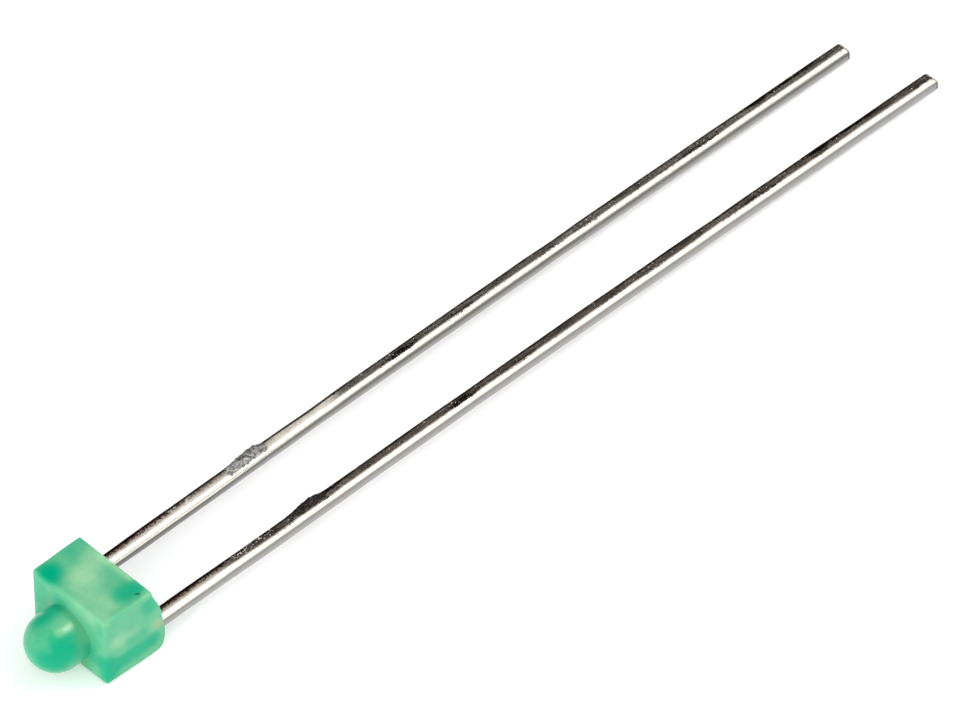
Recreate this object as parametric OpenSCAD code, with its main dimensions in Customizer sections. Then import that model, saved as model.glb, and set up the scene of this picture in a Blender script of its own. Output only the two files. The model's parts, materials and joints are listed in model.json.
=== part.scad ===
// Through-hole LED: a 1.8 mm domed lens on a small block body, with two stamped leads.
// Each piece is drawn in the LED's own straight axes: the leads run along +X from the body's back
// plane at x = 0, the dome looks along -X, the cathode is on +Y, and z = 0 is the plane of the leads.
// at_rest() then tips the whole LED as it lies: on the body's lower back edge and the longer lead's end.

/* [Lead frame] */
// Distance between the two leads' axes
lead_pitch = 2.54; // [2:0.01:3.2]
// Width of a lead, across the pitch
lead_w = 0.46; // [0.4:0.01:0.6]
// Thickness of the stamped strip
lead_t = 0.5; // [0.48:0.01:0.7]
// Radius of a lead's four long edges
lead_edge_r = 0.14; // [0.03:0.01:0.18]
// Cathode lead, from the body's back plane to its cut end
cathode_len = 29.2; // [10:0.1:40]
// Anode lead, from the body's back plane to its cut end
anode_len = 30.2; // [10:0.1:40]
// Roll-over radius at a lead's cut end
lead_end_r = 0.14; // [0.05:0.01:0.2]

/* [Tie-bar remains] */
// From the body's back plane to the sheared tie bar
stub_from = 5.3; // [2:0.1:8]
// Width of the tie bar, along the lead
stub_len = 1.65; // [0.5:0.05:2.5]
// How far the shear left the stub proud of the lead's side
stub_proud = 0.07; // [0.02:0.01:0.15]
// Burr that the shear raised on the lead's top
stub_burr = 0.02; // [0.01:0.01:0.05]

/* [Epoxy body] */
// Epoxy outside each lead, at the body's two sides
side_cover = 0.02; // [0.02:0.01:0.6]
// Height of the body
body_h = 2.5; // [2.2:0.05:3.5]
// Depth of the body along the leads, from its back plane to its front face
body_d = 1.8; // [1.75:0.05:3]
// Height of the leads and the dome's axis above the body's underside
axis_height = 1.1; // [1.05:0.05:1.4]
// Radius round the front face, where the mould's floor was
front_edge_r = 0.12; // [0.05:0.01:0.14]
// Radius of the body's edges that run along the leads
long_edge_r = 0.12; // [0.02:0.01:0.2]

/* [Dome] */
// Diameter of the domed lens
dome_d = 1.8; // [1.4:0.05:1.9]
// Straight wall of the dome, from the front face to the hemisphere
dome_wall = 0.55; // [0.3:0.05:1.5]
// Fillet where the dome meets the front face
dome_fillet_r = 0.05; // [0.02:0.01:0.05]

/* [Epoxy creep round the leads] */
// How far the liquid epoxy crept up beside each lead before it set
creep_h = 0.42; // [0.1:0.01:0.6]
// How far from its peak each creep dies out
creep_reach = 1.45; // [0.8:0.05:1.5]
// Peak of the creep, below the leads' plane
creep_drop = 0.3; // [0:0.05:0.4]
// Step between the creep and the body's underside
creep_lift = 0.08; // [0.05:0.01:0.2]

/* [Inner posts] */
// Straight run of each lead inside the epoxy, before it turns inwards
post_entry = 0.3; // [0.2:0.05:0.5]
// End of the inner posts, from the body's front face
post_end_cover = 0.42; // [0.4:0.01:0.8]
// Width of the cathode's post, which carries the cup
cup_post_w = 0.7; // [0.6:0.01:0.9]
// Width of the anode's post, which takes the wire
wire_post_w = 0.34; // [0.25:0.01:0.5]
// Epoxy gap between the two posts
post_gap = 0.25; // [0.2:0.01:0.4]
// Straight length of the posts behind their ends
post_len = 0.45; // [0.3:0.01:0.6]

/* [Cup, die and wire] */
// Flare of the coined reflector cup, from its floor out to its mouth
cup_flare = 0.06; // [0.02:0.01:0.07]
// Depth of the cup
cup_depth = 0.16; // [0.1:0.01:0.2]
// Side of the square die
die_w = 0.2; // [0.15:0.01:0.22]
// Height of the die
die_h = 0.16; // [0.1:0.01:0.2]
// Thickness of the adhesive under the die
attach_t = 0.02; // [0.01:0.005:0.03]
// Margin of adhesive round the corners of the die
attach_margin = 0.01; // [0.005:0.005:0.02]
// Bare cup floor round the adhesive
floor_margin = 0.01; // [0.005:0.005:0.015]
// Diameter of the bond wire
wire_d = 0.03; // [0.025:0.005:0.05]
// Bend radius of the wire loop
wire_bend_r = 0.1; // [0.06:0.01:0.15]
// Height of the wire above the ball bond, before it bends
wire_rise = 0.05; // [0.02:0.01:0.08]
// Diameter of the bonds at both ends of the wire
bond_d = 0.08; // [0.06:0.01:0.1]
// Thickness of the bonds at both ends of the wire
bond_t = 0.02; // [0.015:0.005:0.03]

/* [Hidden] */
$fn = 96;

// Material added past a face, so that a cut or a union never ends exactly on it
over = 0.1;

cathode_side = 1;
anode_side = -1;

body_w = lead_pitch + lead_w + 2 * side_cover;
body_top = body_h - axis_height;
dome_r = dome_d / 2;
dome_centre_x = -body_d - dome_wall;

// A sphere of this radius stands creep_h proud of the back plane and reaches creep_reach out on it
creep_r = (pow(creep_reach, 2) + pow(creep_h, 2)) / (2 * creep_h);

// The two posts end in one plane, and stand side by side with the cup's post on the dome's axis
post_end_x = -body_d + post_end_cover;
cup_floor_x = post_end_x + cup_depth;
die_back_x = cup_floor_x - attach_t;
die_top_x = die_back_x - die_h;
attach_d = die_w * sqrt(2) + 2 * attach_margin;
cup_floor_d = attach_d + 2 * floor_margin;
cup_mouth_d = cup_floor_d + 2 * cup_flare;
wire_post_y = anode_side * (cup_post_w / 2 + post_gap + wire_post_w / 2);

// The wire's loop: out from the die's ball bond, across, and back to the anode's post
wire_start_x = die_top_x - bond_t;
wire_bend_x = wire_start_x - wire_rise;
wire_end_x = post_end_x - bond_t;

// At rest the floor touches the body's lower back edge and the lower corner of the longer lead's end
longest = max(cathode_len, anode_len);
rest_tilt = atan((axis_height - lead_t / 2) / longest);
rest_lift = axis_height * cos(rest_tilt);
front_x = dome_centre_x * cos(rest_tilt) - dome_r;
end_x = (longest - lead_end_r) * cos(rest_tilt) + (lead_t / 2 - lead_end_r) * sin(rest_tilt) + lead_end_r;
rest_shift = -(front_x + end_x) / 2;

// Puts the straight LED where it comes to rest, with z = 0 on the floor and the origin under its middle
module at_rest() {
    translate([rest_shift, 0, rest_lift])
        rotate([0, rest_tilt, 0])
            children();
}

// A flat outline drawn with x across and y up, extruded along +X
module along_x(from, length) {
    translate([from, 0, 0])
        rotate([90, 0, 90])
            linear_extrude(length)
                children();
}

// A flat outline drawn in plan, extruded evenly to both sides of the leads' plane
module in_plan(height) {
    translate([0, 0, -height / 2])
        linear_extrude(height)
            children();
}

// A flat outline drawn with x along the leads and y up, extruded evenly to both sides of the mid plane
module in_side_view(width) {
    translate([0, width / 2, 0])
        rotate([90, 0, 0])
            linear_extrude(width)
                children();
}

// A rectangle from [x0, y0] to [x1, y1] with four round corners
module round_rect(x0, y0, x1, y1, r) {
    translate([x0 + r, y0])
        square([x1 - x0 - 2 * r, y1 - y0]);
    translate([x0, y0 + r])
        square([x1 - x0, y1 - y0 - 2 * r]);
    for (x = [x0 + r, x1 - r], y = [y0 + r, y1 - r])
        translate([x, y])
            circle(r);
}

// What rounding an edge takes away: a square bar less its inscribed quarter, with the edge at [0, 0]
module edge_waste(r) {
    difference() {
        square(r + over);
        circle(r);
    }
}

// One lead outside the body: a bar with round long edges and a rolled-over cut end
module lead_bar(length) {
    difference() {
        along_x(-post_entry, post_entry + length)
            round_rect(-lead_w / 2, -lead_t / 2, lead_w / 2, lead_t / 2, lead_edge_r);
        translate([length - lead_end_r, 0, lead_t / 2 - lead_end_r])
            in_side_view(lead_w + over)
                edge_waste(lead_end_r);
    }
}

// What the shear left of the tie bar that once joined the leads
module tie_bar_stub() {
    translate([stub_from, 0, -lead_t / 2 + lead_edge_r])
        cube([stub_len, lead_w / 2 + stub_proud, lead_t - lead_edge_r + stub_burr]);
}

// One lead inside the body, in plan: it leaves the bar, turns inwards and runs forwards as a post
module inner_post(side, post_y, post_w) {
    bar_y = side * lead_pitch / 2;
    in_plan(lead_t)
        polygon([
            [0, bar_y - lead_w / 2 + lead_edge_r],
            [-post_entry, bar_y - lead_w / 2],
            [post_end_x + post_len, post_y - post_w / 2],
            [post_end_x, post_y - post_w / 2],
            [post_end_x, post_y + post_w / 2],
            [post_end_x + post_len, post_y + post_w / 2],
            [-post_entry, bar_y + lead_w / 2],
            [0, bar_y + lead_w / 2 - lead_edge_r]
        ]);
}

module reflector_cup() {
    translate([post_end_x, 0, 0])
        rotate([0, 90, 0])
            cylinder(h = cup_depth, d1 = cup_mouth_d, d2 = cup_floor_d);
}

module cathode_lead() {
    color("silver")
        difference() {
            union() {
                translate([0, cathode_side * lead_pitch / 2, 0]) {
                    lead_bar(cathode_len);
                    tie_bar_stub();
                }
                inner_post(cathode_side, 0, cup_post_w);
            }
            reflector_cup();
        }
}

module anode_lead() {
    color("silver") {
        translate([0, anode_side * lead_pitch / 2, 0]) {
            lead_bar(anode_len);
            tie_bar_stub();
        }
        inner_post(anode_side, wire_post_y, wire_post_w);
    }
}

module led_die() {
    color("khaki")
        translate([die_top_x, -die_w / 2, -die_w / 2])
            cube([die_h, die_w, die_w]);
}

module die_attach() {
    color("darkgray")
        translate([die_back_x, 0, 0])
            rotate([0, 90, 0])
                cylinder(h = attach_t, d = attach_d);
}

// A quarter bend of the wire round [x, y], from the angle start to start + 90
module wire_bend(x, y, start) {
    translate([x, y, 0])
        rotate([0, 0, start])
            rotate_extrude(angle = 90)
                translate([wire_bend_r, 0])
                    circle(d = wire_d);
}

module bond_wire() {
    color("gold") {
        for (bond = [[wire_start_x, 0], [wire_end_x, wire_post_y]])
            translate([bond[0], bond[1], 0])
                rotate([0, 90, 0])
                    cylinder(h = bond_t, d = bond_d);
        translate([wire_bend_x, 0, 0])
            rotate([0, 90, 0])
                cylinder(h = wire_rise, d = wire_d);
        translate([wire_bend_x, wire_post_y, 0])
            rotate([0, 90, 0])
                cylinder(h = wire_end_x - wire_bend_x, d = wire_d);
        wire_bend(wire_bend_x, -wire_bend_r, 90);
        wire_bend(wire_bend_x, wire_post_y + wire_bend_r, 180);
        translate([wire_bend_x - wire_bend_r, -wire_bend_r, 0])
            rotate([90, 0, 0])
                cylinder(h = -wire_post_y - 2 * wire_bend_r, d = wire_d);
    }
}

// The block, rounded round its front face and along its long edges, with sharp edges at its open back
module body_block() {
    intersection() {
        along_x(-body_d, body_d)
            round_rect(-body_w / 2, -axis_height, body_w / 2, body_top, long_edge_r);
        in_plan(2 * body_h)
            round_rect(-body_d, -body_w / 2, front_edge_r, body_w / 2, front_edge_r);
        in_side_view(body_w)
            round_rect(-body_d, -axis_height, front_edge_r, body_top, front_edge_r);
    }
}

// The dome: a hemisphere on a straight wall, with a fillet where it meets the front face
module dome() {
    translate([-body_d, 0, 0])
        rotate([0, -90, 0]) {
            cylinder(h = dome_wall, r = dome_r);
            translate([0, 0, dome_wall])
                sphere(dome_r);
            rotate_extrude()
                difference() {
                    square([dome_r + dome_fillet_r, dome_fillet_r]);
                    translate([dome_r + dome_fillet_r, dome_fillet_r])
                        circle(dome_fillet_r);
                }
        }
}

// The free surface of the epoxy behind the back plane, where it crept up between a lead and the mould's side
module creep() {
    intersection() {
        along_x(-over, over + creep_h)
            round_rect(-body_w / 2, -axis_height + creep_lift, body_w / 2, body_top, long_edge_r);
        for (side = [cathode_side, anode_side])
            translate([creep_h - creep_r, side * body_w / 2, -creep_drop])
                sphere(creep_r);
    }
}

module lens_body() {
    color("mediumseagreen")
        difference() {
            union() {
                body_block();
                dome();
                creep();
            }
            cathode_lead();
            anode_lead();
            led_die();
            die_attach();
            bond_wire();
        }
}

at_rest() lens_body();
at_rest() cathode_lead();
at_rest() anode_lead();
at_rest() led_die();
at_rest() die_attach();
at_rest() bond_wire();
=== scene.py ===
import json
import math
from typing import NamedTuple

import bpy
import numpy as np
from bpy.props import FloatProperty, FloatVectorProperty, PointerProperty
from mathutils import Matrix, Vector, noise


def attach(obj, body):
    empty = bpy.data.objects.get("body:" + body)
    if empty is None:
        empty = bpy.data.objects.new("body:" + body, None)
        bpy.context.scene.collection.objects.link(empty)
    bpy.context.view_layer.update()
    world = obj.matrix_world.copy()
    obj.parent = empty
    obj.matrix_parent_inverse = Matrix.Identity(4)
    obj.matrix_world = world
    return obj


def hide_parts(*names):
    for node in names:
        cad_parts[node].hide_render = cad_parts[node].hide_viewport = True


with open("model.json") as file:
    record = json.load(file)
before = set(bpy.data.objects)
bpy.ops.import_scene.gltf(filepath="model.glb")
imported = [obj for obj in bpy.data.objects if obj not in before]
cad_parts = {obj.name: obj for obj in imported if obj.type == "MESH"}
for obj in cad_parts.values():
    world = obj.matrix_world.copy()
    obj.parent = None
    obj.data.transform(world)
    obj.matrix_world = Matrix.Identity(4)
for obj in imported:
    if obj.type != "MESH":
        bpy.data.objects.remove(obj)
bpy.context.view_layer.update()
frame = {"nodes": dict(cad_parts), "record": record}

bl_info = {
    "name": "Through-hole LED",
    "version": (1, 0, 0),
    "blender": (4, 5, 0),
    "location": "View3D > Sidebar > LED",
    "description": "Builds a small domed LED: its diffused epoxy body and its stamped, tinned leads",
    "category": "Object",
}

MM = 0.001
MOUNTS = {mount["name"]: mount for mount in frame["record"]["mounts"]}
ROOT = "root"

# The LED's own straight axes: +X along the leads from the body's back plane, +Y to the cathode,
# and z = 0 in the plane of the leads. The mounts say how the resting LED is tipped.
ALONG = -Vector(MOUNTS["dome"]["axis"])
TILT = math.atan2(-ALONG.z, ALONG.x)
LEAD_PITCH = MOUNTS["cathode_end"]["pos_m"][1] - MOUNTS["anode_end"]["pos_m"][1]
DOME_R = MOUNTS["dome"]["dims"]["r_mm"] * MM
DOME_WALL = MOUNTS["dome"]["dims"]["length_mm"] * MM


# ------------------------------------------------------------------------------------------------
# Sizes and colours
# ------------------------------------------------------------------------------------------------

def linear(code):
    """An sRGB hex value such as "#8FD3A8" as linear RGBA."""
    parts = [int(code[i:i + 2], 16) / 255 for i in (1, 3, 5)]
    return tuple(p / 12.92 if p <= 0.04045 else ((p + 0.055) / 1.055) ** 2.4 for p in parts) + (1.0,)


def length(name, description, millimetres):
    return FloatProperty(name=name, description=description, default=millimetres * MM, unit="LENGTH",
                         precision=6)


def colour(name, description, code):
    return FloatVectorProperty(name=name, description=description, default=linear(code)[:3],
                               subtype="COLOR", size=3, min=0.0, max=1.0)


class BodySizes(bpy.types.PropertyGroup):
    depth: length("Depth", "From the back plane to the front face", 1.8)
    width: length("Width", "Across both leads", 3.04)
    above: length("Above", "From the leads' plane to the top", 1.4)
    below: length("Below", "From the leads' plane to the underside", 1.1)
    edge_r: length("Edge radius", "Radius of the moulded edges", 0.1)
    corner_r: length("Corner radius", "What the long edges' radius grows to at the front corners", 0.14)
    back_edge_r: length("Back edge radius", "Radius of the edge round the open back", 0.04)
    fillet_r: length("Dome fillet", "Radius where the dome meets the front face", 0.05)
    creep_h: length("Creep height", "How far the epoxy crept up beside a lead", 0.42)


class LeadSizes(bpy.types.PropertyGroup):
    width: length("Width", "Across the pitch", 0.46)
    thickness: length("Thickness", "Of the stamped strip", 0.5)
    edge_r: length("Edge radius", "Radius of the four long edges", 0.14)
    stub_from: length("Stub from", "From the back plane to the sheared tie bar", 5.3)
    stub_long: length("Stub length", "Width of the tie bar, along the lead", 1.55)
    stub_proud: length("Stub proud", "How far the sheared tie bar stands out", 0.07)
    cup_floor: length("Cup floor", "Across the flat floor of the coined cup", 0.323)
    cup_flare: length("Cup flare", "From the cup's floor out to its mouth", 0.06)
    cup_depth: length("Cup depth", "Of the coined cup", 0.16)


class Finishes(bpy.types.PropertyGroup):
    deep: colour("Deep epoxy", "Where light runs far through clear tinted epoxy", "#00B489")
    milky: colour("Milky epoxy", "Where the metal stands close behind the diffusant", "#A4DCAE")
    tin: colour("Tin", "The leads' bright tinned top and corners", "#F0EADF")
    side: colour("Side", "The broken lower part of the leads' stamped sides", "#A6A5A3")
    stain: colour("Stain", "Brown flux stain on the tin", "#54362A")


WHITE = "#FFFFFF"
# Where a lead shows warm through the epoxy, and a dark grain caught in the epoxy.
WARM_TONE = "#CDAA80"
GRAIN_TONE = "#0A5A42"
# On the tin: burnt flux, soot, pale flecks in the soot, and the metal that the cutter left.
CRUST_TONE = "#24130D"
SOOT_TONE = "#2A211D"
FLECK_TONE = "#E4DED6"
CUT_TONE = "#55504C"


# ------------------------------------------------------------------------------------------------
# Node and mesh helpers
# ------------------------------------------------------------------------------------------------

def feed(tree, target, inputs):
    """Sets a node's inputs by name or number, and links those whose value is another node's socket."""
    for key, value in inputs.items():
        if isinstance(value, bpy.types.NodeSocket):
            tree.links.new(value, target.inputs[key])
        else:
            target.inputs[key].default_value = value


def node(tree, kind, inputs=None, **settings):
    """Adds one shader node with its own settings and its inputs."""
    made = tree.nodes.new(kind)
    for key, value in settings.items():
        setattr(made, key, value)
    feed(tree, made, inputs or {})
    return made


def new_material(name):
    material = bpy.data.materials.new(name)
    material.use_nodes = True
    tree = material.node_tree
    return material, tree, tree.nodes["Principled BSDF"]


def at_rest():
    """From the LED's straight axes to the way it lies."""
    s = bpy.context.scene.led_body
    reach = s.depth + s.fillet_r + DOME_WALL / 2
    origin = Vector(MOUNTS["dome"]["pos_m"]) + ALONG * reach
    return Matrix.Translation(origin) @ Matrix.Rotation(TILT, 4, "Y")


def straight_coordinates(tree):
    """Where a point lies in the LED's straight axes, in millimetres."""
    place = at_rest()
    source = node(tree, "ShaderNodeTexCoord").outputs["Object"]
    back = node(tree, "ShaderNodeMapping",
                {"Vector": source, "Location": place.translation, "Rotation": (0.0, TILT, 0.0),
                 "Scale": (MM, MM, MM)},
                vector_type="TEXTURE")
    return back.outputs["Vector"]


def loft(name, rings, material):
    """A smooth skin through rings of equally many points, closed by a fan at each end."""
    count = len(rings[0])
    last = (len(rings) - 1) * count
    points = [p for ring in rings for p in ring]
    points += [np.mean(rings[0], axis=0), np.mean(rings[-1], axis=0)]
    faces = []
    for r in range(len(rings) - 1):
        for i in range(count):
            j = (i + 1) % count
            faces.append((r * count + i, r * count + j, (r + 1) * count + j, (r + 1) * count + i))
    faces += [(len(points) - 2, (i + 1) % count, i) for i in range(count)]
    faces += [(last + i, last + (i + 1) % count, len(points) - 1) for i in range(count)]
    place = at_rest()
    mesh = bpy.data.meshes.new(name)
    mesh.from_pydata([place @ Vector(p) for p in points], [], faces)
    mesh.polygons.foreach_set("use_smooth", [True] * len(mesh.polygons))
    mesh.materials.append(material)
    mesh.update()
    piece = bpy.data.objects.new(name, mesh)
    bpy.context.scene.collection.objects.link(piece)
    return piece


def rounded_outline(half_w, low, high, r, steps, flats):
    """(y, z) points round a rectangle with round corners: steps spans a corner and flats spans a side."""
    corners = [(half_w - r, high - r, 0), (-half_w + r, high - r, 90),
               (-half_w + r, low + r, 180), (half_w - r, low + r, 270)]
    points = []
    for k, (cy, cz, start) in enumerate(corners):
        for i in range(steps + 1):
            a = math.radians(start + 90 * i / steps)
            points.append((cy + r * math.cos(a), cz + r * math.sin(a)))
        ny, nz, turn = corners[(k + 1) % 4]
        b = math.radians(turn)
        last, following = points[-1], (ny + r * math.cos(b), nz + r * math.sin(b))
        for i in range(1, flats):
            t = i / flats
            points.append((last[0] + (following[0] - last[0]) * t, last[1] + (following[1] - last[1]) * t))
    return np.array(points)


def unit_circle(outline):
    """The points of a unit circle in the directions of an outline's points."""
    angles = np.arctan2(outline[:, 1], outline[:, 0])
    return np.stack([np.cos(angles), np.sin(angles)], axis=1)


def smooth_step(low, high, value):
    t = np.clip((value - low) / (high - low), 0.0, 1.0)
    return t * t * (3 - 2 * t)


# ------------------------------------------------------------------------------------------------
# Finishes
# ------------------------------------------------------------------------------------------------

# Where the epoxy's tone departs from its middle: the ends of a stretch in straight millimetres, how far
# round it the change reaches, and how milky (+) or deep (-) it makes the epoxy. One stretch, a milky streak
# along the top of the dome's wall, is a painted highlight.
TONES_AND_HIGHLIGHT = (
    ((-0.1, 0.72, 1.4), (-0.8, 0.35, 1.4), 0.75, 0.26),
    ((-1.2, 0.1, 1.4), (-1.35, -0.9, 1.4), 0.85, 0.22),
    ((-1.75, -1.4, 1.4), (-1.7, -1.3, 1.4), 0.4, 0.1),
    ((-0.05, 0.4, 1.4), (-0.05, -0.7, 1.4), 0.28, 0.25),
    ((-0.7, 1.2, 1.4), (-0.1, 1.25, 1.4), 0.4, -0.1),
    ((-1.55, 1.05, 1.8), (-1.68, 0.98, 1.8), 0.75, -1.5),
    ((-0.62, -1.0, 1.42), (-0.3, -1.05, 1.42), 0.56, -0.38),
    ((-0.2, -1.5, 1.4), (-0.05, -1.4, 1.4), 0.3, 0.22),
    ((-1.4, -1.52, 0.4), (-0.7, -1.52, 0.25), 0.55, 0.17),
    ((-0.9, -1.52, 0.1), (-0.45, -1.52, 0.05), 0.35, -0.18),
    ((0.1, -1.52, 0.05), (0.25, -1.52, 0.0), 0.5, 0.12),
    ((-1.5, -1.52, -0.48), (-0.1, -1.52, -0.48), 0.45, -0.48),
    ((-1.8, -1.55, -0.35), (-1.7, -1.55, -0.7), 0.55, -0.55),
    ((-0.2, -1.52, 1.1), (-0.12, -1.5, 0.85), 0.4, -0.26),
    ((-1.8, 1.2, 0.9), (-1.8, 1.15, -0.2), 0.6, -0.14),
    ((-1.8, -0.9, -0.3), (-1.8, -1.4, -0.35), 0.5, -0.3),
    ((-1.8, -0.1, 1.25), (-1.8, -1.0, 1.2), 0.4, 0.1),
    ((-2.5, 0.35, 0.82), (-2.0, 0.4, 0.85), 0.6, -0.4),
    # Painted highlight: a milky streak along the top of the dome's wall, on the anode's side.
    ((-2.55, -0.43, 0.8), (-2.15, -0.43, 0.82), 0.26, 0.32),
    ((-2.9, 0.0, 0.45), (-3.2, 0.05, 0.0), 0.8, -0.16),
    ((-2.65, -0.69, 0.45), (-2.95, -0.6, 0.05), 0.72, -0.6),
    ((-2.4, -0.85, 0.1), (-1.9, -0.85, 0.1), 0.5, -0.16),
)
# The tone away from all of these, from 0, deep, to 1, milky.
MIDDLE_TONE = 0.66
# How much the diffusant's clouds change the tone from their thinnest to their thickest.
CLOUD_TONE = 0.3
# The tone's power is the share of milky colour, so that clear epoxy stays deep.
HAZE_POWER = 2.4
# The stretch of thin epoxy where the near lead leaves, its reach and how strongly the lead shows there.
THIN_EPOXY = ((0.12, -1.52, 0.0), (0.36, -1.4, -0.1), 0.28, 0.38)
# Dark grains caught in the epoxy: the ends of each, its reach and how strongly it shows.
GRAINS = (((-0.36, -1.24, 1.4), (-0.3, -1.29, 1.4), 0.07, 0.8),)


def closeness(tree, place, start, end, reach):
    """1 on the stretch from start to end, fading to 0 at reach from it."""
    span = [b - a for a, b in zip(start, end)]
    square = sum(c * c for c in span)
    out = node(tree, "ShaderNodeVectorMath", {0: place, 1: start}, operation="SUBTRACT").outputs[0]
    dot = node(tree, "ShaderNodeVectorMath", {0: out, 1: [c / square for c in span]},
               operation="DOT_PRODUCT").outputs["Value"]
    share = node(tree, "ShaderNodeClamp", {"Value": dot}).outputs[0]
    step = node(tree, "ShaderNodeVectorMath", {0: span, "Scale": share}, operation="SCALE").outputs[0]
    away = node(tree, "ShaderNodeVectorMath", {0: out, 1: step}, operation="DISTANCE").outputs["Value"]
    fade = node(tree, "ShaderNodeMapRange", {"Value": away, "From Max": reach, "To Min": 1.0, "To Max": 0.0},
                interpolation_type="SMOOTHERSTEP")
    return fade.outputs[0]


def patches(tree, place, stretches):
    """Each stretch's closeness, paired with the factor that the stretch ends with."""
    return [(closeness(tree, place, start, end, reach), factor) for start, end, reach, factor in stretches]


def sum_of(tree, start, terms):
    """start plus each socket times its factor."""
    total = start
    for socket, factor in terms:
        total = node(tree, "ShaderNodeMath", {0: socket, 1: factor, 2: total},
                     operation="MULTIPLY_ADD").outputs[0]
    return total


def where(tree, *limits, inside=None):
    """1 where every limit holds, fading to 0 where one fails, times the inside socket. A limit is a socket,
    the value at which the limit fails and the value from which it holds."""
    share = inside
    for source, fails, holds in limits:
        edge = node(tree, "ShaderNodeMapRange", {"Value": source, "From Min": fails, "From Max": holds})
        if share is None:
            share = edge.outputs[0]
        else:
            both = node(tree, "ShaderNodeMath", {0: share, 1: edge.outputs[0]}, operation="MULTIPLY")
            share = both.outputs[0]
    return share


def painted(tree, ground, layers):
    """The ground colour with each layer's colour laid on it in turn, by the layer's share."""
    for share, tone in layers:
        laid = node(tree, "ShaderNodeMix", {"Factor": share, "A": ground, "B": tone}, data_type="RGBA")
        ground = laid.outputs["Result"]
    return ground


def diffused_epoxy():
    """Green tinted epoxy with a milky diffusant, cast in a polished mould: light soaks in and glows. A milky
    streak on the dome is a painted highlight.
    """
    f = bpy.context.scene.led_finishes
    material, tree, skin = new_material("diffused_epoxy")
    place = straight_coordinates(tree)
    # Clouds in the diffusant are 0.4 mm across, and the ripples that the mould left 0.3 mm.
    clouds = node(tree, "ShaderNodeTexNoise", {"Vector": place, "Scale": 2.4, "Detail": 3.0}).outputs["Fac"]
    ripple = node(tree, "ShaderNodeTexNoise", {"Vector": place, "Scale": 3.0, "Detail": 3.0}).outputs["Fac"]
    # The tone also carries the painted highlight on the dome.
    tone = sum_of(tree, MIDDLE_TONE - CLOUD_TONE / 2,
                  patches(tree, place, TONES_AND_HIGHLIGHT) + [(clouds, CLOUD_TONE)])
    floored = node(tree, "ShaderNodeMath", {0: tone, 1: 0.0}, operation="MAXIMUM").outputs[0]
    haze = node(tree, "ShaderNodeMath", {0: floored, 1: HAZE_POWER}, operation="POWER").outputs[0]
    thin = sum_of(tree, 0.0, patches(tree, place, [THIN_EPOXY]))
    grain = sum_of(tree, 0.0, patches(tree, place, GRAINS))
    tint = painted(tree, (*f.deep, 1.0), [(haze, (*f.milky, 1.0)), (thin, linear(WARM_TONE)),
                                          (grain, linear(GRAIN_TONE))])
    relief = node(tree, "ShaderNodeBump", {"Height": ripple, "Strength": 0.4, "Distance": 0.02 * MM})
    feed(tree, skin, {"Base Color": tint, "Normal": relief.outputs["Normal"], "Roughness": 0.18, "IOR": 1.54,
                      "Specular IOR Level": 0.15, "Subsurface Weight": 1.0,
                      "Subsurface Radius": (0.6, 1.0, 0.8), "Subsurface Scale": 0.08 * MM})
    return material


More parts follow.
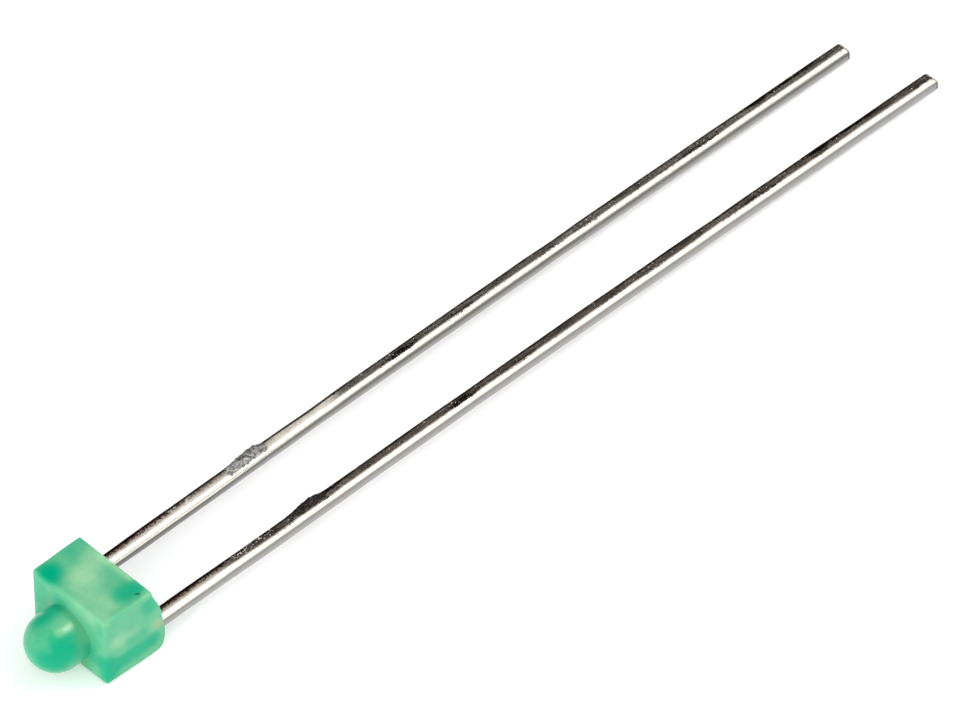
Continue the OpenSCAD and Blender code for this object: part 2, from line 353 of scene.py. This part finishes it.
def tinned_steel(name, lead, reach):
    """Stamped steel dipped in tin, reaching reach millimetres from the body: bright on top and greyer down
    the sheared side, with brown flux stain by the body, and a dull film, soot and flecks further out. The
    pale upper corners are partly a painted highlight, and the dark line under them and the fade to grey below
    are painted reflections."""
    f = bpy.context.scene.led_finishes
    material, tree, skin = new_material(f"tinned_steel_{name}")
    place = node(tree, "ShaderNodeAttribute", attribute_name="section").outputs["Vector"]
    torn = node(tree, "ShaderNodeAttribute", attribute_name="torn").outputs["Fac"]
    x, y, z = node(tree, "ShaderNodeSeparateXYZ", {"Vector": place}).outputs
    # Grit is 0.05 mm across, clouds of stain 0.5 mm, and streaks 0.15 mm across and 1.4 mm long.
    grit = node(tree, "ShaderNodeTexNoise", {"Vector": place, "Scale": 18.0, "Detail": 2.0}).outputs["Fac"]
    clouds = node(tree, "ShaderNodeTexNoise", {"Vector": place, "Scale": 1.9, "Detail": 3.0}).outputs["Fac"]
    drawn = node(tree, "ShaderNodeMapping", {"Vector": place, "Scale": (0.7, 7.0, 7.0)}).outputs["Vector"]
    streaks = node(tree, "ShaderNodeTexNoise", {"Vector": drawn, "Scale": 1.0, "Detail": 4.0}).outputs["Fac"]

    # On each side the pale tin covers the upper corner, partly a painted highlight; under it lies a dark
    # line, a painted dark reflection; below that the side's own grey fades in, the fade a painted paler
    # reflection.
    level = sum_of(tree, 0.0, [(z, 1.0), (where(tree, (x, 7.0, 4.5)), lead.highlight_drop)])
    reflected_grey = where(tree, (level, 0.06, -0.12))
    bright = where(tree, (level, 0.135, 0.175))
    # Flux ran along the upper corner on the +Y side and stained it, more thickly close to the body.
    stained = where(tree, (z, 0.1, 0.2), (y, -0.13, 0.07), (x, 14.0, 1.5), (clouds, 0.2, 0.42))
    crusted = where(tree, (z, 0.1, 0.2), (y, -0.04, 0.04), (x, 6.5, 3.0), (grit, 0.46, 0.56))
    # Further out the flat top carries a dull film, streaks of soot and pale flecks.
    topped = where(tree, (z, 0.22, 0.245), (x, lead.film_from - 0.4, lead.film_from + 0.4))
    filmed = where(tree, (clouds, 0.15, 0.45), inside=topped)
    ragged = sum_of(tree, -0.35, [(streaks, 1.0), (grit, 0.7)])
    sooty = where(tree, (ragged, 0.54, 0.66), inside=topped)
    flecked = where(tree, (grit, 0.69, 0.73), inside=topped)
    # Spots on the upper corner end spots_until out: burnt tin on one lead, pale flux on the other.
    spotted = where(tree, (z, 0.05, 0.15), (y, -0.1, 0.04), (grit, 0.58, 0.62),
                    (x, lead.spots_until - 2.2, lead.spots_until - 1.7),
                    (x, lead.spots_until, lead.spots_until - 0.5))
    # The cutter left a dark line round the end, and the shear a pitted grain on the tie bar's remains.
    cut = where(tree, (x, reach - 0.1, reach - 0.05))
    pitted = where(tree, (grit, 0.5, 0.62), inside=torn)

    # The dark ground colour of the line is a painted dark reflection, the grey laid on below it is a painted
    # paler reflection where it fades in, and the pale tin on the upper corner is partly a painted highlight.
    tone = painted(tree, linear(lead.dark_reflection_tone), [
        (reflected_grey, (*f.side, 1.0)),
        (bright, (*f.tin, 1.0)),
        (stained, (*f.stain, 1.0)),
        (crusted, linear(CRUST_TONE)),
        (filmed, linear(lead.film_tone)),
        (sooty, linear(SOOT_TONE)),
        (spotted, linear(lead.spot_tone)),
        (flecked, linear(FLECK_TONE)),
        (cut, linear(CUT_TONE)),
        (torn, linear(lead.stub_tone)),
        (pitted, linear(lead.pit_tone)),
    ])
    height = sum_of(tree, 0.0, [(grit, 0.2), (streaks, 0.5)])
    relief = node(tree, "ShaderNodeBump", {"Height": height, "Strength": 0.35, "Distance": 0.012 * MM})
    feed(tree, skin, {"Base Color": tone, "Normal": relief.outputs["Normal"],
                      "Roughness": sum_of(tree, 0.05, [(grit, 0.3), (torn, 0.3)]),
                      "Metallic": sum_of(tree, 1.0, [(spotted, -lead.spot_flux), (flecked, -1.0)])})
    return material


def sawn_crystal():
    """A sawn semiconductor crystal: hard, faintly shiny and yellowish, with saw marks."""
    material, tree, skin = new_material("sawn_crystal")
    # Saw marks are 0.008 mm apart.
    saw = node(tree, "ShaderNodeTexWave", {"Vector": straight_coordinates(tree), "Scale": 40.0},
               bands_direction="Z")
    tone = node(tree, "ShaderNodeMix",
                {"Factor": saw.outputs["Fac"], "A": linear("#B89A3E"), "B": linear("#A08634")},
                data_type="RGBA")
    feed(tree, skin, {"Base Color": tone.outputs["Result"], "Roughness": 0.35})
    return material


def silver_adhesive():
    """Cured silver-filled adhesive: dull grey with fine bright flakes."""
    material, tree, skin = new_material("silver_adhesive")
    # Flakes are 0.017 mm across.
    flakes = node(tree, "ShaderNodeTexVoronoi", {"Vector": straight_coordinates(tree), "Scale": 60.0})
    tone = node(tree, "ShaderNodeMix",
                {"Factor": flakes.outputs["Distance"], "A": linear("#A6A6A2"), "B": linear("#7C7C78")},
                data_type="RGBA")
    feed(tree, skin, {"Base Color": tone.outputs["Result"], "Metallic": 0.6, "Roughness": 0.5})
    return material


def drawn_gold():
    """Drawn gold wire: warm and bright, with patches that the drawing left a little duller."""
    material, tree, skin = new_material("drawn_gold")
    # Patches are 0.03 mm across, about as wide as the wire.
    dull = node(tree, "ShaderNodeTexNoise",
                {"Vector": straight_coordinates(tree), "Scale": 30.0, "Detail": 2.0})
    rough = node(tree, "ShaderNodeMapRange", {"Value": dull.outputs["Fac"], "To Min": 0.15, "To Max": 0.3})
    feed(tree, skin, {"Base Color": linear("#F2C66B"), "Metallic": 1.0, "Roughness": rough.outputs[0]})
    return material


# ------------------------------------------------------------------------------------------------
# The epoxy body
# ------------------------------------------------------------------------------------------------

# The free surface behind the back plane, down the side of the body: (z, height), in millimetres.
CREEP_PROFILE = ((1.4, 0.0), (1.26, 0.0), (1.03, 0.08), (0.82, 0.17), (0.62, 0.26), (0.31, 0.35),
                 (0.07, 0.39), (-0.29, 0.42), (-0.6, 0.4), (-0.81, 0.36), (-0.95, 0.31), (-1.02, 0.22),
                 (-1.06, 0.1), (-1.1, 0.0))
# How far in from the sides the creep reaches, and how high the free surface's slight waves are.
CREEP_REACH = 1.4
WAVE_HEIGHT = 0.02
# The waves die away over these heights below the top and above the underside.
CALM_TOP = 0.3
CALM_BOTTOM = 0.2
# How many spans the skin has over the dome, its wall, its fillet, the front face, the front edges, the sides,
# the back edges and the back, and how many there are on a corner and on a side of the outline.
DOME_SPANS, WALL_SPANS, FILLET_SPANS, FACE_SPANS = 24, 6, 6, 12
EDGE_SPANS, SIDE_SPANS, RIM_SPANS, BACK_SPANS = 8, 24, 4, 31
BODY_CORNER_SPANS, BODY_FLAT_SPANS = 8, 56


def creep(y, z, s):
    """How far the epoxy's free back surface stands behind the back plane at (y, z)."""
    levels = np.array([level for level, _ in reversed(CREEP_PROFILE)]) * MM
    heights = np.array([height for _, height in reversed(CREEP_PROFILE)]) * MM
    side = np.interp(z, levels, heights)
    inward = np.clip((s.width / 2 - np.abs(y)) / (CREEP_REACH * MM), 0.0, 1.0)
    # The waves are 1.5 mm long down the back and 2.7 mm long across it.
    wave = WAVE_HEIGHT * MM * np.sin(z * 4100.0 + 1.0) * np.cos(y * 2300.0)
    calm = np.clip((s.above - z) / (CALM_TOP * MM), 0.0, 1.0)
    calm = calm * np.clip((z + s.below) / (CALM_BOTTOM * MM), 0.0, 1.0)
    return side * (1 - inward ** 2) * s.creep_h / heights.max() + wave * calm


def body_rings(s):
    """Rings from the dome's tip over the front face and the sides to the middle of the back."""
    def outline(inset, r):
        return rounded_outline(s.width / 2 - inset, -s.below + inset, s.above - inset, max(r, 1e-9),
                               BODY_CORNER_SPANS, BODY_FLAT_SPANS)

    rings = []

    def add(x, flat):
        rings.append(np.column_stack([np.broadcast_to(x, len(flat)), flat]))

    front = outline(0.0, s.corner_r)
    core = outline(s.edge_r, s.corner_r - s.edge_r)
    outer = outline(0.0, s.edge_r)
    circle = unit_circle(outer)
    centre = -s.depth - s.fillet_r - DOME_WALL
    for k in range(1, DOME_SPANS + 1):
        a = math.radians(90 * k / DOME_SPANS)
        add(centre - DOME_R * math.cos(a), circle * DOME_R * math.sin(a))
    for k in range(1, WALL_SPANS + 1):
        add(centre + DOME_WALL * k / WALL_SPANS, circle * DOME_R)
    for k in range(1, FILLET_SPANS + 1):
        a = math.radians(90 * k / FILLET_SPANS)
        add(-s.depth - s.fillet_r * (1 - math.sin(a)), circle * (DOME_R + s.fillet_r * (1 - math.cos(a))))
    root = circle * (DOME_R + s.fillet_r)
    for k in range(1, FACE_SPANS + 1):
        add(-s.depth, root + (core - root) * k / FACE_SPANS)
    for k in range(1, EDGE_SPANS + 1):
        a = math.radians(90 * k / EDGE_SPANS)
        add(-s.depth + s.edge_r * (1 - math.cos(a)), core + (front - core) * math.sin(a))
    # Part of the way back, the long edges' radius falls from corner_r to edge_r.
    start = -s.depth + s.edge_r
    end = creep(outer[:, 0], outer[:, 1], s) - s.back_edge_r
    for k in range(1, SIDE_SPANS + 1):
        share = smooth_step(0.25, 0.65, k / SIDE_SPANS)
        add(start + (end - start) * k / SIDE_SPANS, front + (outer - front) * share)
    normal = outer - outline(s.edge_r, 0.0)
    normal /= np.maximum(np.linalg.norm(normal, axis=1), 1e-12)[:, None]
    for k in range(1, RIM_SPANS + 1):
        a = math.radians(90 * k / RIM_SPANS)
        add(end + s.back_edge_r * math.sin(a), outer - normal * s.back_edge_r * (1 - math.cos(a)))
    rim = outer - normal * s.back_edge_r
    for k in range(1, BACK_SPANS):
        flat = rim * (1 - k / BACK_SPANS)
        add(creep(flat[:, 0], flat[:, 1], s), flat)
    return rings


class LED_OT_epoxy_body(bpy.types.Operator):
    """Casts the diffused epoxy: the block, the dome and the epoxy that crept up beside the leads"""
    bl_idname = "led.epoxy_body"
    bl_label = "Epoxy Body"

    def execute(self, context):
        body = loft("epoxy_body", body_rings(context.scene.led_body), diffused_epoxy())
        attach(body, ROOT)
        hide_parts("lens_body")
        return {"FINISHED"}


# ------------------------------------------------------------------------------------------------
# The leads
# ------------------------------------------------------------------------------------------------

class Lead(NamedTuple):
    """What sets one lead apart from the other, in millimetres and degrees."""
    side: int            # 1 on the cathode's side of the middle, -1 on the anode's
    post_y: float        # where its post stands inside the epoxy
    post_w: float        # the post's width
    cup: bool            # whether the post is coined into the die's cup
    end_r: float         # radius of the upper edge at the cut end
    twist: float         # how far its section is turned by the body
    twist_until: float   # where along it the twist is gone
    sink: float          # how far down it lies by the body
    shift: float         # how far it steps sideways near the body
    bow: float           # how far its middle stands out sideways
    splay: float         # how far its end strays sideways
    stub_peak: float     # where the tie bar's remains stand highest, from 0 to 1 along them
    stub_grain: float    # how coarsely they are torn
    stub_edge: float     # where across its section the tear starts
    stub_tone: str       # colour of the tear
    pit_tone: str        # colour of the pits in the tear
    spots_until: float   # where along it the spots end
    spot_tone: str       # colour of the spots
    spot_flux: float     # 1 if the spots are flux, 0 if they are metal
    highlight_drop: float  # how much lower the bright upper side, partly a painted highlight, ends by the body
    film_from: float     # where along it the dull film starts
    film_tone: str       # colour of the film
    dark_reflection_tone: str       # colour of the dark line under the bright upper side, a painted dark reflection


LEADS = {
    "cathode": Lead(side=1, post_y=0.0, post_w=0.7, cup=True, end_r=0.14, twist=4.2, twist_until=10.0,
                    sink=0.15, shift=0.0, bow=0.02, splay=-0.06, stub_peak=0.8, stub_grain=1.3,
                    stub_edge=-0.16, stub_tone="#B8B6B3", pit_tone="#75716E", spots_until=1.6,
                    spot_tone="#1A100C", spot_flux=0.0, highlight_drop=0.055, film_from=9.0,
                    film_tone="#D9D0C7", dark_reflection_tone="#6A6866"),
    "anode": Lead(side=-1, post_y=-0.77, post_w=0.34, cup=False, end_r=0.2, twist=3.4, twist_until=3.3,
                  sink=0.16, shift=-0.04, bow=0.02, splay=-0.068, stub_peak=0.7, stub_grain=0.9,
                  stub_edge=-0.03, stub_tone="#34302E", pit_tone="#5A5552", spots_until=5.1,
                  spot_tone="#D8CFC8", spot_flux=1.0, highlight_drop=0.0, film_from=3.2,
                  film_tone="#B9ACA2", dark_reflection_tone="#8C8A88"),
}
# Inside the epoxy, in millimetres: where the posts end, how long they are, where the bars start, and the
# radii of their edges. The post's end face is this share of its section, which rounds its rim.
POST_TIP = -1.38
POST_LENGTH = 0.45
BAR_START = -0.3
POST_EDGE_R = 0.03
BAR_EDGE_R = 0.1
POST_FACE = 0.92
# How many spans there are on a corner and on a side of the section.
CORNER_SPANS, FLAT_SPANS = 8, 8
# How far apart sections are drawn along a bar, at the tie bar's remains and at the cut end, and how far
# beyond the last two the closer spacing starts.
BAR_PACE, STUB_PACE, END_PACE = 0.15, 0.025, 0.02
STUB_MARGIN, END_MARGIN = 0.2, 0.3
# The size of the tear's ragged edge and of its grain, and how high its burr stands on the top.
TEAR_EDGE = 0.12
TEAR_GRAIN = 0.1
BURR = 0.02
# The furthest that the tear stands out, in times stub_proud.
TEAR_LIMIT = 1.4
# The section's form wanders over this length along the bar.
WANDER_LENGTH = 1.9


def lead_outline(half_w, s, r):
    return rounded_outline(half_w, -s.thickness / 2, s.thickness / 2, r, CORNER_SPANS, FLAT_SPANS)


def inner_rings(lead, length_out, s):
    """The lead inside the epoxy: the coined cup or the bare end, the post, and the turn out to the bar."""
    bar_y = lead.side * LEAD_PITCH / 2
    bar_bend = bend(lead, 0.0, length_out)
    post_y = lead.post_y * MM
    half = lead.post_w * MM / 2
    front = POST_TIP * MM
    post_r = POST_EDGE_R * MM
    rings = []
    if lead.cup:
        circle = unit_circle(lead_outline(half, s, post_r))
        for x, r in ((front + s.cup_depth, s.cup_floor / 2), (front, s.cup_floor / 2 + s.cup_flare)):
            rings.append(np.column_stack([np.full(len(circle), x), circle * r + [post_y, 0.0]]))
    for x, y, half_w, r, size, bent in ((front, post_y, half, post_r, POST_FACE, 0.0),
                                        (front, post_y, half, post_r, 1.0, 0.0),
                                        (front + POST_LENGTH * MM, post_y, half, post_r, 1.0, 0.0),
                                        (BAR_START * MM, bar_y, s.width / 2, BAR_EDGE_R * MM, 1.0, 1.0)):
        flat = lead_outline(half_w, s, r) * size
        rings.append(np.column_stack([np.full(len(flat), x), flat + [y, 0.0] + bar_bend * bent]))
    return rings


def lead_stations(length_out, s):
    """Where along the lead its section is drawn: close together at the torn stub and at the cut end."""
    stub_start = s.stub_from - STUB_MARGIN * MM
    stub_stop = s.stub_from + s.stub_long + STUB_MARGIN * MM
    end_start = length_out - END_MARGIN * MM
    stations = []
    for low, high, pace in ((0.0, stub_start, BAR_PACE), (stub_start, stub_stop, STUB_PACE),
                            (stub_stop, end_start, BAR_PACE), (end_start, length_out, END_PACE)):
        stations += list(np.linspace(low, high, round((high - low) / (pace * MM)), endpoint=False))
    return stations


def bend(lead, x, length_out):
    """How far the lead's middle strays sideways and upwards at x, as it was bent in handling."""
    along = min(max(x / length_out, 0.0), 1.0)
    # The step lies 1 to 5 mm out, the factor 16 makes the bow full midway, and the sink is gone 18 mm out.
    sideways = lead.shift * smooth_step(1.0 * MM, 5.0 * MM, x) + lead.splay * along ** 5
    sideways += lead.bow * 16 * (along * (1 - along)) ** 2
    down = lead.sink * (1 - min(x / (18 * MM), 1.0)) ** 2
    return np.array([sideways * MM, -down * MM])


def twisted(flat, x, wander, lead, length_out):
    """The section turned as the lead is twisted at x. The cut end lies level."""
    # The twist goes within 1 mm, the section wanders by 0.9 degrees, and both end 4 to 2 mm before the cut.
    until = lead.twist_until * MM
    turn = math.radians(lead.twist * (1 - smooth_step(until - 1.0 * MM, until, x)) + 0.9 * wander)
    turn *= 1 - smooth_step(length_out - 4 * MM, length_out - 2 * MM, x)
    return flat @ np.array([[math.cos(turn), math.sin(turn)], [-math.sin(turn), math.cos(turn)]])


def torn_share(x, y, z, lead, s):
    """1 where the shear tore the lead's +Y side and top, 0 elsewhere, with a ragged edge."""
    ragged = TEAR_EDGE * MM * noise.noise(Vector((x, y, z)) / (TEAR_EDGE * MM))
    stop = s.stub_from + s.stub_long
    # It fades over 0.08 mm along the lead, 0.06 mm across the top and 0.12 mm down the side.
    along = smooth_step(0.0, 0.08 * MM, x + ragged - s.stub_from)
    along = along * smooth_step(0.0, 0.08 * MM, stop + ragged - x)
    across = smooth_step(-0.03 * MM, 0.03 * MM, y + 0.3 * ragged - lead.stub_edge * MM)
    down = smooth_step(-0.12 * MM, 0.0, z)
    return float(along * across * max(down, smooth_step(0.0, 0.1 * MM, y)))


def tear(flat, shares, x, lead, s):
    """Pulls a section's torn points out to +Y and up, as the shear left the tie bar's remains: at the hump
    about 1.3 times as far as stub_proud, and more or less by the grain."""
    along = (x - s.stub_from) / s.stub_long
    hump = smooth_step(0.0, lead.stub_peak, along) * (1 - smooth_step(lead.stub_peak, 1.0, along))
    for i, share in enumerate(shares):
        if share > 0:
            y, z = flat[i]
            grain = noise.fractal(Vector((x, y, z)) / (TEAR_GRAIN * MM), 1.0, 2.0, 3)
            outward = share * smooth_step(0.0, 1.0, y / (s.width / 2))
            upward = share * smooth_step(0.6, 1.0, z / (s.thickness / 2))
            flat[i, 0] += outward * s.stub_proud * hump * (1.3 + 0.6 * lead.stub_grain * grain)
            flat[i, 1] += upward * BURR * MM * lead.stub_grain * (grain - 0.2)
    flat[:, 0] = np.minimum(flat[:, 0], s.width / 2 + TEAR_LIMIT * s.stub_proud)
    flat[:, 1] = np.minimum(flat[:, 1], s.thickness / 2 + BURR * MM)


def round_end(flat, x, lead, length_out, s):
    """Lowers the section's top near the cut end, where the cutter pushed its edge over."""
    r = lead.end_r * MM
    past = x - (length_out - r)
    if past > 0:
        drop = r - math.sqrt(max(r * r - past * past, 0.0))
        high = flat[:, 1] > 0
        flat[high, 1] *= 1 - drop / (s.thickness / 2)


def bar_rings(lead, length_out, s):
    """The lead outside the epoxy: its rings, how torn each point is, and where it lies in the section."""
    rings, torn, section = [], [], []
    for x in lead_stations(length_out, s):
        # The tin is a little thicker here and there: edges wander by a fifth and the section by a hundredth.
        wander = noise.noise(Vector((x / (WANDER_LENGTH * MM), lead.side * 5.0, 0.0)))
        flat = lead_outline(s.width / 2, s, s.edge_r * (0.95 + 0.2 * wander)) * (1 - 0.012 * abs(wander))
        section.append(np.column_stack([np.full(len(flat), x), flat]) / MM)
        shares = [torn_share(x, y, z, lead, s) for y, z in flat]
        torn += shares
        flat = twisted(flat, x, wander, lead, length_out)
        tear(flat, shares, x, lead, s)
        round_end(flat, x, lead, length_out, s)
        place = flat + [lead.side * LEAD_PITCH / 2, 0.0] + bend(lead, x, length_out)
        rings.append(np.column_stack([np.full(len(flat), x), place]))
    return rings, torn, section


class LED_OT_leads(bpy.types.Operator):
    """Stamps and tins the two leads, with the cup, the posts and the torn remains of the tie bar"""
    bl_idname = "led.leads"
    bl_label = "Leads"

    def execute(self, context):
        s = context.scene.led_leads
        back = at_rest().inverted()
        for name, lead in LEADS.items():
            reach = (back @ Vector(MOUNTS[f"{name}_end"]["pos_m"])).x
            inner = inner_rings(lead, reach, s)
            bar, torn, section = bar_rings(lead, reach, s)
            piece = loft(f"{name}_tinned", inner + bar, tinned_steel(name, lead, reach / MM))
            count = len(piece.data.vertices)
            first = len(inner) * len(inner[0])
            marks = np.zeros(count)
            marks[first:first + len(torn)] = torn
            places = np.zeros((count, 3))
            places[first:first + len(torn)] = np.vstack(section)
            places[-1] = section[-1].mean(axis=0)
            attributes = piece.data.attributes
            attributes.new("torn", "FLOAT", "POINT").data.foreach_set("value", marks)
            attributes.new("section", "FLOAT_VECTOR", "POINT").data.foreach_set("vector", places.ravel())
            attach(piece, ROOT)
            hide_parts(f"{name}_lead")
        return {"FINISHED"}


class LED_OT_chip(bpy.types.Operator):
    """Finishes the die, its adhesive and its gold wire, which the epoxy seals in"""
    bl_idname = "led.chip"
    bl_label = "Die, Adhesive and Wire"

    def execute(self, context):
        finishes = {"led_die": sawn_crystal, "die_attach": silver_adhesive, "bond_wire": drawn_gold}
        for name, finish in finishes.items():
            for slot in frame["nodes"][name].material_slots:
                slot.material = finish()
        return {"FINISHED"}


# ------------------------------------------------------------------------------------------------
# The stage
# ------------------------------------------------------------------------------------------------

# Half the floor's width in metres, the share of the light that it gives back to the LED, and the glow that
# makes it white where it is seen. It is seen with a share of 1.
FLOOR_HALF = 1.0
FLOOR_LIGHT = 0.9
FLOOR_GLOW = 0.28
# How strongly the room lights the LED. It is seen at strength 1, which is white.
ROOM_LIGHT = 0.775
# How many flat strips a bent card has.
CARD_STRIPS = 24
# The camera's direction and roll in degrees, its lens in millimetres, and where it stands: right and up in
# millimetres and back in metres.
CAMERA_AZIMUTH, CAMERA_ELEVATION, CAMERA_ROLL = -40.22, 47.74, -3.78
CAMERA_LENS = 1100
CAMERA_RIGHT, CAMERA_UP, CAMERA_BACK = 0.265, 0.300, 0.8276


def direction(azimuth, elevation):
    """Towards azimuth and elevation in degrees. From azimuth 0 one looks along +Y."""
    a, e = math.radians(azimuth), math.radians(elevation)
    return Vector((math.sin(a) * math.cos(e), -math.cos(a) * math.cos(e), math.sin(e)))


def set_up(name, points, faces, material):
    """Adds a sheet to the stage."""
    mesh = bpy.data.meshes.new(name)
    mesh.from_pydata(points, [], faces)
    mesh.materials.append(material)
    made = bpy.data.objects.new(name, mesh)
    bpy.context.scene.collection.objects.link(made)
    return made


def seen_rays(tree):
    """1 for the rays of the camera, of gloss and of clear parts, and 0 for those that light the LED."""
    rays = node(tree, "ShaderNodeLightPath").outputs
    seen = node(tree, "ShaderNodeMath", {0: rays["Is Camera Ray"], 1: rays["Is Glossy Ray"]},
                operation="MAXIMUM")
    seen = node(tree, "ShaderNodeMath", {0: seen.outputs[0], 1: rays["Is Transmission Ray"]},
                operation="MAXIMUM")
    return seen.outputs[0]


def arch(name, spread, lean, tone, glow=0.0, away=0.5):
    """A card bent round the leads, which the camera doesn't see. In degrees, spread is the range of angles
    from the leads' direction that it fills, and lean the range from overhead towards the anode. Its radius
    is away."""
    points = []
    for i in range(CARD_STRIPS + 1):
        t = math.radians(lean[0] + (lean[1] - lean[0]) * i / CARD_STRIPS)
        for angle in spread:
            a = math.radians(angle)
            points.append(away * Vector((math.cos(a), -math.sin(a) * math.sin(t), math.sin(a) * math.cos(t))))
    faces = [(2 * i, 2 * i + 1, 2 * i + 3, 2 * i + 2) for i in range(CARD_STRIPS)]
    material, tree, skin = new_material(name)
    feed(tree, skin, {"Base Color": linear(tone), "Roughness": 0.9, "Specular IOR Level": 0.0,
                      "Emission Color": linear(WHITE), "Emission Strength": glow})
    card = set_up(name, points, faces, material)
    card.visible_camera = False


def floor():
    """A plain pale floor, seen paler than it lights the LED, so that it joins the white room."""
    half = FLOOR_HALF
    material, tree, skin = new_material("pale_floor")
    seen = seen_rays(tree)
    tone = node(tree, "ShaderNodeMapRange", {"Value": seen, "To Min": FLOOR_LIGHT, "To Max": 1.0})
    glow = node(tree, "ShaderNodeMath", {0: seen, 1: FLOOR_GLOW}, operation="MULTIPLY")
    feed(tree, skin, {"Base Color": tone.outputs[0], "Emission Color": linear(WHITE),
                      "Emission Strength": glow.outputs[0], "Roughness": 0.8, "Specular IOR Level": 0.0})
    set_up("floor", [(-half, -half, 0), (half, -half, 0), (half, half, 0), (-half, half, 0)], [(0, 1, 2, 3)],
           material)


def room():
    """White for the camera, gloss and clear parts, and a softer white for the light it gives."""
    world = bpy.data.worlds.new("room")
    world.use_nodes = True
    tree = world.node_tree
    strength = node(tree, "ShaderNodeMapRange",
                    {"Value": seen_rays(tree), "To Min": ROOM_LIGHT, "To Max": 1.0}).outputs[0]
    feed(tree, tree.nodes["Background"], {"Color": linear(WHITE), "Strength": strength})
    bpy.context.scene.world = world


def camera():
    """A long lens from in front, above the anode's side."""
    back = direction(CAMERA_AZIMUTH, CAMERA_ELEVATION)
    level = Vector((0, 0, 1)).cross(back).normalized()
    right = Matrix.Rotation(math.radians(CAMERA_ROLL), 3, back) @ level
    up = back.cross(right)
    data = bpy.data.cameras.new("camera")
    data.lens = CAMERA_LENS
    data.clip_end = 10
    made = bpy.data.objects.new("camera", data)
    place = Matrix((right, up, back)).transposed().to_4x4()
    place.translation = right * CAMERA_RIGHT * MM + up * CAMERA_UP * MM + back * CAMERA_BACK
    made.matrix_world = place
    bpy.context.scene.collection.objects.link(made)
    bpy.context.scene.camera = made


class LED_OT_stage(bpy.types.Operator):
    """Sets the pale floor, the white room, the glowing and dark cards and the camera"""
    bl_idname = "led.stage"
    bl_label = "Stage"

    def execute(self, context):
        context.scene.view_settings.view_transform = "Standard"
        floor()
        room()
        arch("softbox", (54, 74), (-28, 86), WHITE, 0.4)
        arch("glint", (61, 67), (18, 27), WHITE, 25.0, 0.47)
        arch("dark_card", (38, 100), (-88, -31), "#222222")
        arch("fill_card", (140, 172), (-20, 110), "#808080", 3.3)
        camera()
        return {"FINISHED"}


# ------------------------------------------------------------------------------------------------
# The add-on
# ------------------------------------------------------------------------------------------------

class LED_PT_panel(bpy.types.Panel):
    """Lists the LED's pieces"""
    bl_idname = "LED_PT_panel"
    bl_label = "Through-hole LED"
    bl_space_type = "VIEW_3D"
    bl_region_type = "UI"
    bl_category = "LED"

    def draw(self, context):
        for operator in OPERATORS:
            self.layout.operator(operator.bl_idname)
        for group in (context.scene.led_body, context.scene.led_leads, context.scene.led_finishes):
            column = self.layout.column()
            for name in group.__annotations__:
                column.prop(group, name)


OPERATORS = (LED_OT_epoxy_body, LED_OT_leads, LED_OT_chip, LED_OT_stage)
GROUPS = {"led_body": BodySizes, "led_leads": LeadSizes, "led_finishes": Finishes}


def register():
    for kind in (*GROUPS.values(), *OPERATORS, LED_PT_panel):
        bpy.utils.register_class(kind)
    for name, group in GROUPS.items():
        setattr(bpy.types.Scene, name, PointerProperty(type=group))


def unregister():
    for name in GROUPS:
        delattr(bpy.types.Scene, name)
    for kind in reversed((*GROUPS.values(), *OPERATORS, LED_PT_panel)):
        bpy.utils.unregister_class(kind)


def main():
    register()
    bpy.ops.led.epoxy_body()
    bpy.ops.led.leads()
    bpy.ops.led.chip()
    bpy.ops.led.stage()


if __name__ == "__main__":
    main()
